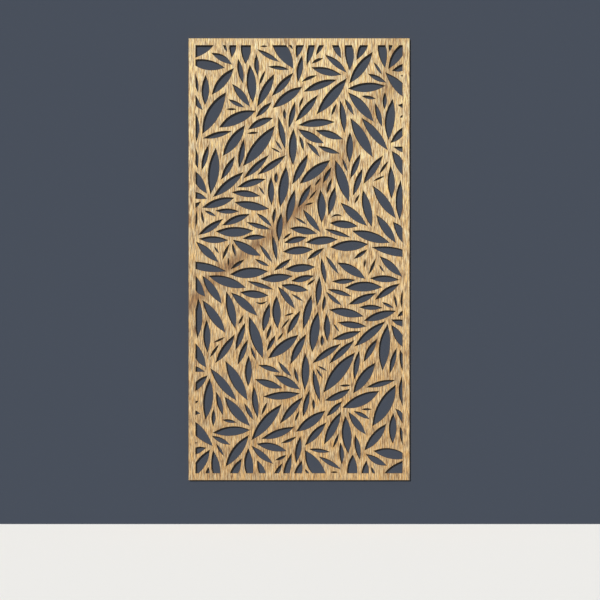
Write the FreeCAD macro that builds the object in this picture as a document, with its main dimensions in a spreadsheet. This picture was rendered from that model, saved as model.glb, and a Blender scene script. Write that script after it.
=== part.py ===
import FreeCAD, Part
import math
import os

# Decorative screen panel for a wall.
#
# One thin board is cut right through with a pattern of pointed leaves. Behind its plain border, out of
# sight, a frame of four battens is glued on. Two keyhole plates let into the upright battens hang the
# panel on two wall screws, and four felt bumpers keep it level and off the wall.
#
# X runs across the panel, Z runs up, and the face looks towards -Y. The origin lies midway between the
# entry holes of the two keyhole plates, in the plane of the battens' backs.

doc = FreeCAD.newDocument("decorative_screen_panel")

# The driving dimensions, in millimetres
DRIVING_SIZES = [
    ("panel_width", 600, "the cut board, edge to edge"),
    ("panel_height", 1200, "the cut board, bottom to top"),
    ("board_thickness", 6, "veneered board"),
    ("border_width", 19, "plain margin round the leaves"),
    ("batten_depth", 9, "how far the battens hold the board off the keyhole plates' backs"),
    ("batten_setback", 1.5, "battens kept in from the board's outer edge"),
    ("batten_hiding", 1.5, "battens kept back behind the border's inner edge"),
    ("cut_tolerance", 0.6, "how far the straight runs of a leaf's edge lie off its arc"),
    ("keyhole_drop", 120, "keyhole entries, below the board's top edge"),
    ("keyhole_entry_radius", 4.25, "lets the head of a wall screw in"),
    ("keyhole_slot_radius", 2.1, "half the slot's width, for the shank of a wall screw"),
    ("keyhole_rise", 7.5, "from the entry's centre up to the slot's top centre"),
    ("hanger_width", 12, "keyhole plate"),
    ("hanger_length", 36, "keyhole plate"),
    ("hanger_thickness", 1.5, "keyhole plate"),
    ("hanger_hole_inset", 5, "its two screw holes, from the plate's ends"),
    ("hanger_hole_radius", 1.75, "its screw holes"),
    ("countersink_radius", 3, "the wide end of its screw holes"),
    ("hanger_clearance", 0.1, "room round the plate in its recess"),
    ("head_room_margin", 0.5, "how much wider than the entry the room behind the plate is"),
    ("head_room_depth", 4.5, "room behind the plate for the wall screw's head"),
    ("bumper_radius", 5, "round felt pad"),
    ("bumper_thickness", 1.5, "round felt pad"),
    ("bumper_inset", 20, "felt pads, from the stiles' ends"),
    ("overrun", 1, "how far a cut passes beyond the face that it starts from"),
]

sizes = doc.addObject("Spreadsheet::Sheet", "sizes")
for row, (name, value, meaning) in enumerate(DRIVING_SIZES, start=1):
    sizes.set(f"A{row}", meaning)
    sizes.set(f"B{row}", str(value))
    sizes.setAlias(f"B{row}", name)
doc.recompute()

# Sizes and places that follow from the driving ones, as expressions on the sheet
WINDOW_WIDTH = "(sizes.panel_width - 2 * sizes.border_width)"
WINDOW_HEIGHT = "(sizes.panel_height - 2 * sizes.border_width)"
PANEL_TOP = "(sizes.keyhole_drop)"
PANEL_BOTTOM = "(sizes.keyhole_drop - sizes.panel_height)"
WINDOW_TOP = f"({PANEL_TOP} - sizes.border_width)"
BATTEN_WIDTH = "(sizes.border_width - sizes.batten_setback - sizes.batten_hiding)"
STILE_OUTER = "(sizes.panel_width / 2 - sizes.batten_setback)"
STILE_INNER = f"({STILE_OUTER} - {BATTEN_WIDTH})"
STILE_CENTRE = f"({STILE_OUTER} - {BATTEN_WIDTH} / 2)"
STILE_TOP = f"({PANEL_TOP} - sizes.batten_setback)"
STILE_BOTTOM = f"({PANEL_BOTTOM} + sizes.batten_setback)"
STILE_LENGTH = "(sizes.panel_height - 2 * sizes.batten_setback)"
RAIL_LENGTH = f"(2 * {STILE_INNER})"
BOARD_BACK = "(-sizes.batten_depth)"
HEAD_ROOM_RADIUS = "(sizes.keyhole_entry_radius + sizes.head_room_margin)"
PLATE_CENTRE = "(sizes.keyhole_rise + sizes.keyhole_slot_radius - sizes.keyhole_entry_radius) / 2"
PLATE_END_CENTRE = "(sizes.hanger_length - sizes.hanger_width) / 2"
PLATE_HOLE_REACH = "(sizes.hanger_length / 2 - sizes.hanger_hole_inset)"
COUNTERSINK_DEPTH = "(sizes.countersink_radius - sizes.hanger_hole_radius)"

# The leaves. Each row is one leaf, with two arcs between two pointed tips:
# across and down to its first tip, across and down to its second tip, and how far its edge bulges
# to the left and to the right of the line from tip to tip. All are shares of the window's width,
# measured from the window's top left corner. A leaf that runs past the window is cut off by the border.
# The rows fill the upper half, and half a turn about the panel's centre gives the lower half.
WINDOW_HEIGHT_SHARE = 2.068
LEAF_SHARES = [
    # the top left corner
    (-0.045, 0.068, 0.105, -0.025, 0.040, 0.021),
    (-0.030, 0.075, 0.140, 0.108, 0.020, 0.026),
    (0.077, 0.037, 0.176, 0.093, 0.017, 0.010),
    (0.130, -0.020, 0.152, 0.031, 0.005, 0.005),
    (0.187, -0.070, 0.175, 0.060, 0.017, 0.017),
    (0.240, -0.075, 0.241, 0.090, 0.026, 0.021),
    (0.206, 0.066, 0.229, 0.184, 0.011, 0.012),
    (0.294, 0.043, 0.301, 0.148, 0.007, 0.013),
    (0.262, 0.096, 0.277, 0.276, 0.022, 0.021),
    (0.336, 0.124, 0.308, 0.192, 0.004, 0.006),
    (0.184, 0.111, 0.079, 0.238, 0.019, 0.021),
    (0.000, 0.140, 0.012, 0.228, 0.005, 0.008),
    (0.048, 0.145, 0.045, 0.289, 0.018, 0.016),
    (-0.014, 0.222, 0.034, 0.312, 0.003, 0.020),
    (0.146, 0.228, 0.034, 0.427, 0.026, 0.034),
    (0.178, 0.188, 0.262, 0.296, 0.017, 0.013),
    (0.160, 0.262, 0.235, 0.300, 0.007, 0.009),
    (0.150, 0.309, 0.197, 0.309, 0.004, 0.004),
    (0.314, 0.005, 0.347, 0.005, 0.003, 0.003),
    (0.379, 0.140, 0.298, 0.296, 0.019, 0.019),
    (0.366, 0.276, 0.292, 0.347, 0.011, 0.012),
    # the top middle
    (0.299, 0.020, 0.404, 0.080, 0.009, 0.010),
    (0.360, -0.055, 0.471, 0.111, 0.034, 0.026),
    (0.447, -0.015, 0.470, 0.019, 0.004, 0.004),
    (0.525, -0.075, 0.487, 0.060, 0.018, 0.017),
    (0.515, 0.049, 0.494, 0.179, 0.012, 0.014),
    (0.570, -0.070, 0.536, 0.096, 0.020, 0.010),
    (0.630, -0.040, 0.582, 0.047, 0.010, 0.009),
    (0.562, 0.088, 0.615, 0.063, 0.009, 0.003),
    (0.626, 0.046, 0.729, 0.132, 0.016, 0.010),
    (0.561, 0.107, 0.704, 0.142, 0.014, 0.019),
    (0.514, 0.176, 0.585, 0.146, 0.009, 0.003),
    (0.352, 0.103, 0.450, 0.117, 0.009, 0.007),
    (0.471, 0.134, 0.369, 0.245, 0.017, 0.015),
    (0.514, 0.201, 0.374, 0.302, 0.020, 0.024),
    (0.428, 0.308, 0.432, 0.358, 0.005, 0.006),
    (0.481, 0.273, 0.450, 0.401, 0.012, 0.011),
    (0.520, 0.251, 0.500, 0.300, 0.004, 0.004),
    (0.591, 0.241, 0.483, 0.368, 0.017, 0.015),
    (0.681, 0.167, 0.523, 0.224, 0.014, 0.020),
    (0.730, 0.160, 0.585, 0.333, 0.025, 0.023),
    (0.680, 0.283, 0.656, 0.340, 0.005, 0.005),
    # the top right corner
    (0.660, -0.055, 0.703, 0.062, 0.011, 0.018),
    (0.731, -0.045, 0.745, 0.121, 0.025, 0.015),
    (0.840, -0.060, 0.778, 0.070, 0.020, 0.016),
    (0.855, 0.033, 0.743, 0.184, 0.022, 0.021),
    (0.890, -0.060, 0.915, 0.109, 0.019, 0.020),
    (0.948, -0.040, 0.938, 0.030, 0.008, 0.009),
    (1.030, -0.030, 0.931, 0.114, 0.020, 0.024),
    (0.949, 0.123, 1.060, 0.080, 0.012, 0.020),
    (0.991, 0.147, 1.020, 0.147, 0.003, 0.003),
    (0.863, 0.084, 0.900, 0.141, 0.005, 0.005),
    (0.834, 0.138, 0.920, 0.180, 0.010, 0.010),
    (0.737, 0.209, 0.916, 0.196, 0.020, 0.022),
    (0.917, 0.131, 1.080, 0.290, 0.022, 0.027),
    (0.803, 0.245, 0.870, 0.258, 0.006, 0.007),
    (0.738, 0.229, 0.859, 0.368, 0.025, 0.018),
    (0.721, 0.259, 0.763, 0.336, 0.009, 0.007),
    (0.699, 0.268, 0.719, 0.422, 0.017, 0.010),
    (0.915, 0.227, 0.913, 0.309, 0.008, 0.009),
    (0.868, 0.281, 0.900, 0.392, 0.011, 0.011),
    (0.952, 0.260, 0.932, 0.457, 0.019, 0.025),
    (0.978, 0.289, 1.040, 0.300, 0.011, 0.009),
    (0.988, 0.349, 1.010, 0.337, 0.004, 0.004),
    # the second band, left
    (-0.003, 0.320, 0.004, 0.466, 0.016, 0.004),
    (0.290, 0.317, 0.114, 0.397, 0.021, 0.030),
    (0.037, 0.450, 0.174, 0.415, 0.012, 0.012),
    (0.238, 0.387, 0.132, 0.534, 0.024, 0.022),
    (0.251, 0.426, 0.303, 0.423, 0.005, 0.003),
    (0.374, 0.352, 0.255, 0.407, 0.009, 0.022),
    (0.382, 0.390, 0.230, 0.583, 0.031, 0.026),
    (0.233, 0.454, 0.209, 0.593, 0.014, 0.011),
    (0.062, 0.481, 0.029, 0.604, 0.012, 0.010),
    (-0.004, 0.488, 0.011, 0.594, 0.008, 0.015),
    (0.097, 0.497, 0.072, 0.719, 0.028, 0.022),
    (-0.020, 0.595, 0.054, 0.716, 0.017, 0.020),
    (0.188, 0.538, 0.123, 0.649, 0.015, 0.012),
    (0.353, 0.531, 0.233, 0.642, 0.016, 0.013),
    (0.435, 0.532, 0.300, 0.625, 0.016, 0.013),
    (0.231, 0.613, 0.085, 0.733, 0.019, 0.019),
    (0.338, 0.647, 0.202, 0.686, 0.013, 0.017),
    (0.306, 0.684, 0.333, 0.721, 0.003, 0.003),
    # the second band, middle
    (0.400, 0.348, 0.433, 0.502, 0.013, 0.012),
    (0.474, 0.403, 0.471, 0.580, 0.015, 0.021),
    (0.497, 0.386, 0.672, 0.371, 0.021, 0.014),
    (0.497, 0.406, 0.619, 0.473, 0.015, 0.020),
    (0.581, 0.411, 0.712, 0.454, 0.017, 0.015),
    (0.502, 0.438, 0.522, 0.509, 0.008, 0.004),
    (0.538, 0.469, 0.599, 0.538, 0.011, 0.006),
    (0.593, 0.487, 0.695, 0.523, 0.008, 0.013),
    (0.386, 0.461, 0.416, 0.505, 0.004, 0.003),
    (0.367, 0.496, 0.409, 0.518, 0.003, 0.003),
    (0.390, 0.614, 0.389, 0.667, 0.006, 0.008),
    (0.437, 0.585, 0.408, 0.782, 0.025, 0.019),
    (0.541, 0.528, 0.467, 0.671, 0.019, 0.014),
    (0.649, 0.556, 0.504, 0.668, 0.022, 0.024),
    (0.656, 0.590, 0.615, 0.666, 0.008, 0.009),
    (0.604, 0.643, 0.577, 0.678, 0.003, 0.004),
    (0.658, 0.645, 0.635, 0.717, 0.005, 0.007),
    (0.674, 0.684, 0.643, 0.821, 0.016, 0.015),
    (0.557, 0.673, 0.495, 0.784, 0.013, 0.013),
    # the second band, right
    (0.749, 0.353, 0.855, 0.540, 0.024, 0.023),
    (0.803, 0.352, 0.928, 0.506, 0.020, 0.018),
    (0.942, 0.472, 1.025, 0.385, 0.013, 0.018),
    (0.956, 0.491, 1.075, 0.520, 0.011, 0.015),
    (0.949, 0.512, 1.012, 0.640, 0.027, 0.013),
    (0.746, 0.420, 0.744, 0.567, 0.015, 0.016),
    (0.796, 0.526, 0.748, 0.644, 0.012, 0.012),
    (0.709, 0.549, 0.734, 0.611, 0.005, 0.004),
    (0.904, 0.534, 0.812, 0.669, 0.014, 0.019),
    (0.930, 0.561, 0.888, 0.621, 0.005, 0.005),
    (0.912, 0.632, 0.860, 0.656, 0.003, 0.004),
    (0.675, 0.556, 0.741, 0.756, 0.024, 0.022),
    (0.806, 0.596, 0.761, 0.726, 0.013, 0.013),
    (0.942, 0.583, 0.947, 0.741, 0.017, 0.015),
    (0.991, 0.654, 0.987, 0.845, 0.014, 0.021),
    # the third band, left
    (-0.070, 0.720, 0.054, 0.742, 0.023, 0.008),
    (0.025, 0.756, -0.035, 0.800, 0.009, 0.009),
    (0.033, 0.784, 0.186, 0.737, 0.018, 0.019),
    (0.097, 0.799, 0.209, 0.802, 0.010, 0.012),
    (0.175, 0.710, 0.312, 0.729, 0.017, 0.012),
    (0.189, 0.758, 0.354, 0.790, 0.017, 0.021),
    (0.044, 0.799, 0.098, 0.826, 0.006, 0.005),
    (0.028, 0.802, 0.039, 0.861, 0.004, 0.004),
    (0.006, 0.800, -0.001, 0.886, 0.005, 0.004),
    (0.132, 0.839, 0.014, 0.916, 0.017, 0.012),
    (0.261, 0.816, 0.129, 0.870, 0.014, 0.017),
    (0.099, 0.899, 0.278, 0.896, 0.018, 0.027),
    (0.247, 0.855, 0.361, 0.889, 0.008, 0.011),
    (0.295, 0.812, 0.368, 0.876, 0.011, 0.005),
    (0.228, 0.934, 0.340, 0.927, 0.014, 0.008),
    (0.017, 0.935, 0.157, 0.942, 0.014, 0.016),
    (0.003, 0.950, 0.110, 1.048, 0.016, 0.017),
    (0.090, 0.973, 0.113, 1.005, 0.003, 0.003),
    (0.163, 0.961, 0.131, 1.035, 0.004, 0.007),
    (0.181, 0.940, 0.314, 1.017, 0.015, 0.023),
    (0.309, 0.963, 0.370, 1.049, 0.008, 0.007),
    # the third band, middle
    (0.364, 0.638, 0.367, 0.772, 0.013, 0.015),
    (0.479, 0.698, 0.440, 0.861, 0.017, 0.017),
    (0.414, 0.809, 0.402, 0.949, 0.011, 0.016),
    (0.386, 0.784, 0.375, 0.861, 0.005, 0.008),
    (0.371, 0.918, 0.393, 1.040, 0.010, 0.009),
    (0.585, 0.700, 0.547, 0.746, 0.003, 0.003),
    (0.568, 0.761, 0.528, 0.773, 0.003, 0.003),
    (0.520, 0.795, 0.602, 0.902, 0.012, 0.014),
    (0.603, 0.700, 0.609, 0.857, 0.022, 0.016),
    (0.482, 0.832, 0.535, 0.865, 0.004, 0.004),
    (0.457, 0.884, 0.585, 0.910, 0.018, 0.014),
    (0.461, 0.908, 0.424, 0.937, 0.004, 0.004),
    (0.537, 0.929, 0.429, 0.954, 0.012, 0.015),
    (0.532, 0.953, 0.686, 0.939, 0.021, 0.016),
    (0.423, 0.997, 0.566, 0.986, 0.018, 0.018),
    (0.620, 0.980, 0.540, 1.035, 0.009, 0.010),
    # the third band, right
    (0.656, 0.831, 0.708, 0.826, 0.011, -0.003),
    (0.649, 0.859, 0.783, 0.875, 0.019, 0.015),
    (0.625, 0.888, 0.748, 0.928, 0.009, 0.009),
    (0.651, 0.976, 0.833, 0.961, 0.024, 0.024),
    (0.758, 0.897, 0.937, 0.954, 0.022, 0.021),
    (0.830, 0.987, 0.765, 1.032, 0.008, 0.007),
    (0.852, 0.976, 1.075, 1.020, 0.019, 0.019),
    (0.808, 0.699, 0.851, 0.877, 0.018, 0.020),
    (0.702, 0.761, 0.828, 0.872, 0.017, 0.020),
    (0.791, 0.721, 0.769, 0.764, 0.004, 0.004),
    (0.857, 0.680, 0.966, 0.835, 0.020, 0.021),
    (0.874, 0.820, 0.967, 0.954, 0.018, 0.018),
    (0.954, 0.854, 1.020, 0.975, 0.029, 0.011),
]
# Four small leaves beside the centre line that have no twin across it
LONE_LEAF_SHARES = [
    (0.177, 0.959, 0.194, 1.019, 0.005, 0.005),
    (0.159, 1.028, 0.159, 1.066, 0.003, 0.003),
    (0.288, 1.033, 0.355, 1.067, 0.005, 0.008),
    (0.820, 1.034, 0.816, 1.072, 0.003, 0.003),
]

FEWEST_RUNS = 3
SIDES = {"left": -1, "right": 1}


def worked_out(expression):
    """The number that an expression on the sheet comes to."""
    return float(sizes.evalExpression(expression.replace("sizes.", "")))


def bind(thing, bindings):
    """Ties properties of a thing to expressions on the sheet."""
    for name, expression in bindings.items():
        thing.setExpression(name, expression)
    return thing


def box(name, corner, extent):
    """A block from its lowest corner."""
    names = ("Placement.Base.x", "Placement.Base.y", "Placement.Base.z", "Length", "Width", "Height")
    return bind(doc.addObject("Part::Box", name), dict(zip(names, corner + extent)))


def wallward(kind, name):
    """A round primitive whose axis is turned to run towards the wall."""
    shape = doc.addObject(kind, name)
    shape.Placement = FreeCAD.Placement(FreeCAD.Vector(), FreeCAD.Rotation(FreeCAD.Vector(1, 0, 0), -90))
    return shape


def disc(name, centre, radius, depth):
    """A round plug that runs towards the wall from the centre given."""
    names = ("Placement.Base.x", "Placement.Base.y", "Placement.Base.z", "Radius", "Height")
    return bind(wallward("Part::Cylinder", name), dict(zip(names, centre + (radius, depth))))


def taper(name, centre, start_radius, end_radius, depth):
    """The same with a radius that changes on the way."""
    names = ("Placement.Base.x", "Placement.Base.y", "Placement.Base.z", "Radius1", "Radius2", "Height")
    return bind(wallward("Part::Cone", name), dict(zip(names, centre + (start_radius, end_radius, depth))))


def fuse(name, shapes):
    joined = doc.addObject("Part::MultiFuse", name)
    joined.Shapes = shapes
    return joined


def cut(name, base, tools):
    """The base with the tools taken out of it."""
    result = doc.addObject("Part::Cut", name)
    result.Base = base
    result.Tool = tools[0] if len(tools) == 1 else fuse(name + "_tools", tools)
    return result


def obround(name, across, back, low, high, radius, depth):
    """An upright slot shape: a block with a round end centred at its low and its high place."""
    block = box(
        name + "_block",
        (f"{across} - {radius}", back, low),
        (f"2 * {radius}", depth, f"{high} - ({low})"),
    )
    ends = [disc(name + "_low", (across, back, low), radius, depth)]
    ends.append(disc(name + "_high", (across, back, high), radius, depth))
    return fuse(name, [block] + ends)


# The leaf pattern

window_width = worked_out(WINDOW_WIDTH)
window_height = worked_out(WINDOW_HEIGHT)
window_top = worked_out(WINDOW_TOP)
board_back = worked_out(BOARD_BACK)
cut_tolerance = worked_out("sizes.cut_tolerance")


def window_point(across, down):
    """A place in the window, given in shares, on the board's back."""
    x = (across - 0.5) * window_width
    z = window_top - down / WINDOW_HEIGHT_SHARE * window_height
    return FreeCAD.Vector(x, board_back, z)


def straight_runs(start, middle, end):
    """Points along an arc, whose last one is left to the next arc. As in a cutter's path, the edge runs
    straight from each to the next. The points stand out past the arc by the tolerance and the runs between
    them cut inside it by as much, so the opening keeps its size."""
    outwards = middle - (start + end) * 0.5
    past = middle + outwards * (cut_tolerance / outwards.Length)
    arc = Part.Arc(start, past, end).toShape()
    turn = 2 * math.acos(1 - 2 * cut_tolerance / arc.Curve.Radius)
    sweep = arc.LastParameter - arc.FirstParameter
    runs = max(FEWEST_RUNS, math.ceil(sweep / turn))
    return arc.discretize(Number=runs + 1)[:-1]


def leaf_outline(across_1, down_1, across_2, down_2, left_bulge, right_bulge):
    """Two arcs that meet at the leaf's tips."""
    tips = FreeCAD.Vector(across_2 - across_1, down_2 - down_1, 0)
    to_left = FreeCAD.Vector(tips.y, -tips.x, 0).normalize()
    middle = FreeCAD.Vector(across_1 + across_2, down_1 + down_2, 0) * 0.5
    left = middle + to_left * left_bulge
    right = middle - to_left * right_bulge
    first = window_point(across_1, down_1)
    second = window_point(across_2, down_2)
    points = straight_runs(first, window_point(left.x, left.y), second)
    points += straight_runs(second, window_point(right.x, right.y), first)
    return Part.makePolygon(points + [first])


def half_turned(across_1, down_1, across_2, down_2, left_bulge, right_bulge):
    """The same leaf after half a turn about the centre of the window."""
    first = (1 - across_1, WINDOW_HEIGHT_SHARE - down_1)
    second = (1 - across_2, WINDOW_HEIGHT_SHARE - down_2)
    return first + second + (left_bulge, right_bulge)


def rectangle(low, high):
    """The outline of an upright rectangle between two opposite corners."""
    corners = [
        low,
        FreeCAD.Vector(high.x, low.y, low.z),
        high,
        FreeCAD.Vector(low.x, low.y, high.z),
    ]
    return Part.makePolygon(corners + [low])


def clipped(outline, window):
    """The leaf's outlines inside the window: its own where it lies wholly inside."""
    if window.BoundBox.isInside(outline.BoundBox):
        return [outline]
    return [part.OuterWire for part in Part.Face(outline).common(window).Faces]


def pierced_face():
    """The board's back face, with every leaf cut out of it."""
    half_width = worked_out("sizes.panel_width / 2")
    board_outline = rectangle(
        FreeCAD.Vector(-half_width, board_back, worked_out(PANEL_BOTTOM)),
        FreeCAD.Vector(half_width, board_back, worked_out(PANEL_TOP)),
    )
    window = Part.Face(rectangle(window_point(0, WINDOW_HEIGHT_SHARE), window_point(1, 0)))
    rows = LEAF_SHARES + [half_turned(*row) for row in LEAF_SHARES] + LONE_LEAF_SHARES
    outlines = [board_outline]
    for row in rows:
        outlines += clipped(leaf_outline(*row), window)
    return Part.makeFace(Part.makeCompound(outlines), "Part::FaceMakerBullseye")


# The pieces

def make_board():
    """The one cut sheet: border and leaf pattern in a single board."""
    face = doc.addObject("Part::Feature", "pierced_face")
    face.Shape = pierced_face()
    board = doc.addObject("Part::Extrusion", "fretwork_board")
    board.Base = face
    board.DirMode = "Custom"
    board.Dir = FreeCAD.Vector(0, -1, 0)
    board.Solid = True
    return bind(board, {"LengthFwd": "sizes.board_thickness"})


def make_stile(side_name, side):
    """An upright batten, with the recess for its keyhole plate and the room behind it."""
    name = side_name + "_back_stile"
    edge = STILE_INNER if side > 0 else f"-{STILE_OUTER}"
    blank = box(
        name + "_blank",
        (edge, BOARD_BACK, STILE_BOTTOM),
        (BATTEN_WIDTH, "sizes.batten_depth", STILE_LENGTH),
    )
    across = f"{side} * {STILE_CENTRE}"
    recess = obround(
        name + "_recess",
        across,
        "-sizes.hanger_thickness",
        f"{PLATE_CENTRE} - {PLATE_END_CENTRE}",
        f"{PLATE_CENTRE} + {PLATE_END_CENTRE}",
        "(sizes.hanger_width / 2 + sizes.hanger_clearance)",
        "sizes.hanger_thickness + sizes.overrun",
    )
    head_room = obround(
        name + "_head_room",
        across,
        "-sizes.hanger_thickness - sizes.head_room_depth",
        "0",
        "sizes.keyhole_rise",
        HEAD_ROOM_RADIUS,
        "sizes.head_room_depth + sizes.overrun",
    )
    return cut(name, blank, [recess, head_room])


def make_rail(name, bottom):
    """A level batten between the two stiles."""
    extent = (RAIL_LENGTH, "sizes.batten_depth", BATTEN_WIDTH)
    return box(name, (f"-{STILE_INNER}", BOARD_BACK, bottom), extent)


def screw_hole(name, across, height):
    """A countersunk hole through a keyhole plate."""
    through = disc(
        name + "_bore",
        (across, "-sizes.hanger_thickness - sizes.overrun", height),
        "sizes.hanger_hole_radius",
        "sizes.hanger_thickness + 2 * sizes.overrun",
    )
    countersink = taper(
        name + "_countersink",
        (across, f"-{COUNTERSINK_DEPTH}", height),
        "sizes.hanger_hole_radius",
        "sizes.countersink_radius + sizes.overrun",
        f"{COUNTERSINK_DEPTH} + sizes.overrun",
    )
    return fuse(name, [through, countersink])


def make_hanger(side_name, side):
    """A steel plate with round ends, a keyhole and two screw holes, flush with the stile's back."""
    name = side_name + "_keyhole_hanger"
    across = f"{side} * {STILE_CENTRE}"
    plate = obround(
        name + "_plate",
        across,
        "-sizes.hanger_thickness",
        f"{PLATE_CENTRE} - {PLATE_END_CENTRE}",
        f"{PLATE_CENTRE} + {PLATE_END_CENTRE}",
        "sizes.hanger_width / 2",
        "sizes.hanger_thickness",
    )
    back = "-sizes.hanger_thickness - sizes.overrun"
    through = "sizes.hanger_thickness + 2 * sizes.overrun"
    slot = obround(
        name + "_slot",
        across,
        back,
        "0",
        "sizes.keyhole_rise",
        "sizes.keyhole_slot_radius",
        through,
    )
    entry = disc(name + "_entry", (across, back, "0"), "sizes.keyhole_entry_radius", through)
    low_hole = screw_hole(name + "_low_hole", across, f"{PLATE_CENTRE} - {PLATE_HOLE_REACH}")
    high_hole = screw_hole(name + "_high_hole", across, f"{PLATE_CENTRE} + {PLATE_HOLE_REACH}")
    return cut(name, plate, [slot, entry, low_hole, high_hole])


def make_bumper(name, side, height):
    """A felt pad on the back of a stile, near its end."""
    centre = (f"{side} * {STILE_CENTRE}", "0", height)
    return disc(name, centre, "sizes.bumper_radius", "sizes.bumper_thickness")


pieces = [make_board()]
pieces.append(make_rail("top_back_rail", f"{STILE_TOP} - {BATTEN_WIDTH}"))
pieces.append(make_rail("bottom_back_rail", STILE_BOTTOM))
for side_name, side in SIDES.items():
    pieces.append(make_stile(side_name, side))
    pieces.append(make_hanger(side_name, side))
    pieces.append(make_bumper(f"upper_{side_name}_bumper", side, f"{STILE_TOP} - sizes.bumper_inset"))
    pieces.append(make_bumper(f"lower_{side_name}_bumper", side, f"{STILE_BOTTOM} + sizes.bumper_inset"))
doc.recompute()

for thing in doc.Objects:
    if "Invalid" in thing.State or "Error" in thing.State:
        raise RuntimeError(f"{thing.Label} didn't recompute: {thing.State}")
for piece in pieces:
    if piece.Shape.isNull() or not piece.Shape.isValid():
        raise RuntimeError(f"{piece.Label} has no valid shape")

os.makedirs("parts", exist_ok=True)
for piece in pieces:
    piece.Shape.exportStep(os.path.join("parts", piece.Label + ".step"))
    extent = piece.Shape.BoundBox
    print(
        f"{piece.Label}: {len(piece.Shape.Solids)} solids, {piece.Shape.Volume:.0f} mm3, "
        f"{extent.XLength:.1f} x {extent.YLength:.1f} x {extent.ZLength:.1f} mm"
    )
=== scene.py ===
# %% [markdown]
# A fretwork wall panel, dressed for a picture
#
# The real object is one thin board with an oak face, cut right through by a laser into a dense pattern of
# pointed leaves. Behind its plain border it is stiffened by four pine battens, and two steel keyhole plates
# and four felt pads carry it on the wall. All of that is already here as solids at their true size. What is
# left to make is the look: the wood's grain and its scorched cuts, the plates' plating, the screws and the
# felt, and then a plain studio for the picture.

# %% Load the solids
import math

import bmesh
import bpy
from mathutils import Matrix, Vector


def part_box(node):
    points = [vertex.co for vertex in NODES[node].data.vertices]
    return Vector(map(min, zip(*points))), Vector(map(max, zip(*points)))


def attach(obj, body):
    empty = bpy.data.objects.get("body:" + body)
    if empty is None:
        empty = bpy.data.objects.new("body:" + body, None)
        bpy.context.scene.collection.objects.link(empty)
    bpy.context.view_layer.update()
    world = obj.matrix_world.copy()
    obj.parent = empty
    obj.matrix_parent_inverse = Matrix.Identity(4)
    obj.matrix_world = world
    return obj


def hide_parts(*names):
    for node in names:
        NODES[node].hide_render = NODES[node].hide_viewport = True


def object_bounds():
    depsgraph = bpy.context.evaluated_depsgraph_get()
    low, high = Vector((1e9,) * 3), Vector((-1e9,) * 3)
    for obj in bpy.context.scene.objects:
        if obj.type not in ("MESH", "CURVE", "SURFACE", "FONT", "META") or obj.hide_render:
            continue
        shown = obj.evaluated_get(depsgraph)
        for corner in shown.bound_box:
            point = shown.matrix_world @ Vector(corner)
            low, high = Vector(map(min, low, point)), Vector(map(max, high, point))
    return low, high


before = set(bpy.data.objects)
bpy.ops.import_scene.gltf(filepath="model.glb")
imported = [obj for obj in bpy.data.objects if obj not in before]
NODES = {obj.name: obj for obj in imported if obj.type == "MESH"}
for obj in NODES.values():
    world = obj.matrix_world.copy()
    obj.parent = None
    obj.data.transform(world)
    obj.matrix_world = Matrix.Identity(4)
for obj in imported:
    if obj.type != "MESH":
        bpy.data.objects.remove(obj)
solid_low, solid_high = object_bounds()
BOARD_LOW, BOARD_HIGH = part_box("fretwork_board")
MIDDLE = (BOARD_LOW + BOARD_HIGH) / 2
HALF_THICKNESS = (BOARD_HIGH.y - BOARD_LOW.y) / 2
print("board", [round(side, 4) for side in BOARD_HIGH - BOARD_LOW], "metres")

# %% [markdown]
# Colours are easiest to think of as a screen shows them, from 0 to 255. The shader works with light
# instead, so each colour goes through the screen's own curve once, in one small helper.

# %% A colour as light
MM = 0.001
CURVE_FOOT = 0.04045
CURVE_SLOPE = 12.92
CURVE_LIFT = 0.055
CURVE_POWER = 2.4
FULL = 255.0


def light_of(value):
    """One channel of a screen colour, as light."""
    share = value / FULL
    if share <= CURVE_FOOT:
        return share / CURVE_SLOPE
    return ((share + CURVE_LIFT) / (1 + CURVE_LIFT)) ** CURVE_POWER


def paint(red, green, blue):
    """A screen colour as the four numbers a colour socket takes."""
    return (light_of(red), light_of(green), light_of(blue), 1.0)


print("a mid grey is", round(light_of(FULL / 2), 3), "of the light of white")

# %% [markdown]
# A material is a net of nodes. A few helpers keep that net readable. One adds a node with its settings, and
# one feeds a socket with either a value or another node's result. The next ones work out a value, mix and
# tint colours, and make soft noise, stretched or opened out. The last ones build an empty group or material,
# place a group in it, give it relief and put it on the solids. Groups hold what several materials share,
# such as the grain of wood.

# %% Helpers for nodes
FLOAT = "NodeSocketFloat"
COLOUR = "NodeSocketColor"
VECTOR = "NodeSocketVector"
MIX_SHARE = 0
MIX_FIRST_COLOUR = 6
MIX_SECOND_COLOUR = 7
MIX_COLOUR_RESULT = 2


def add(tree, kind, **settings):
    """A new node with its settings."""
    made = tree.nodes.new(kind)
    for name, value in settings.items():
        setattr(made, name, value)
    return made


def feed(tree, socket, value):
    """Gives a socket a value or another node's result."""
    if isinstance(value, bpy.types.NodeSocket):
        tree.links.new(value, socket)
    else:
        socket.default_value = value


def work_out(tree, operation, first, second=0.0, clamp=False):
    """The result of one step of arithmetic."""
    step = add(tree, "ShaderNodeMath", operation=operation, use_clamp=clamp)
    feed(tree, step.inputs[0], first)
    feed(tree, step.inputs[1], second)
    return step.outputs[0]


def spread(tree, value, low, high, to_low=0.0, to_high=1.0):
    """A range of values, opened out or squeezed to another range with soft ends."""
    step = add(tree, "ShaderNodeMapRange", interpolation_type="SMOOTHSTEP")
    for socket, number in zip(step.inputs[:5], (value, low, high, to_low, to_high)):
        feed(tree, socket, number)
    return step.outputs[0]


def mix_values(tree, share, first, second):
    """Two values mixed by a share from 0 to 1."""
    first_part = work_out(tree, "MULTIPLY", first, work_out(tree, "SUBTRACT", 1.0, share))
    second_part = work_out(tree, "MULTIPLY", second, share)
    return work_out(tree, "ADD", first_part, second_part)


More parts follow.
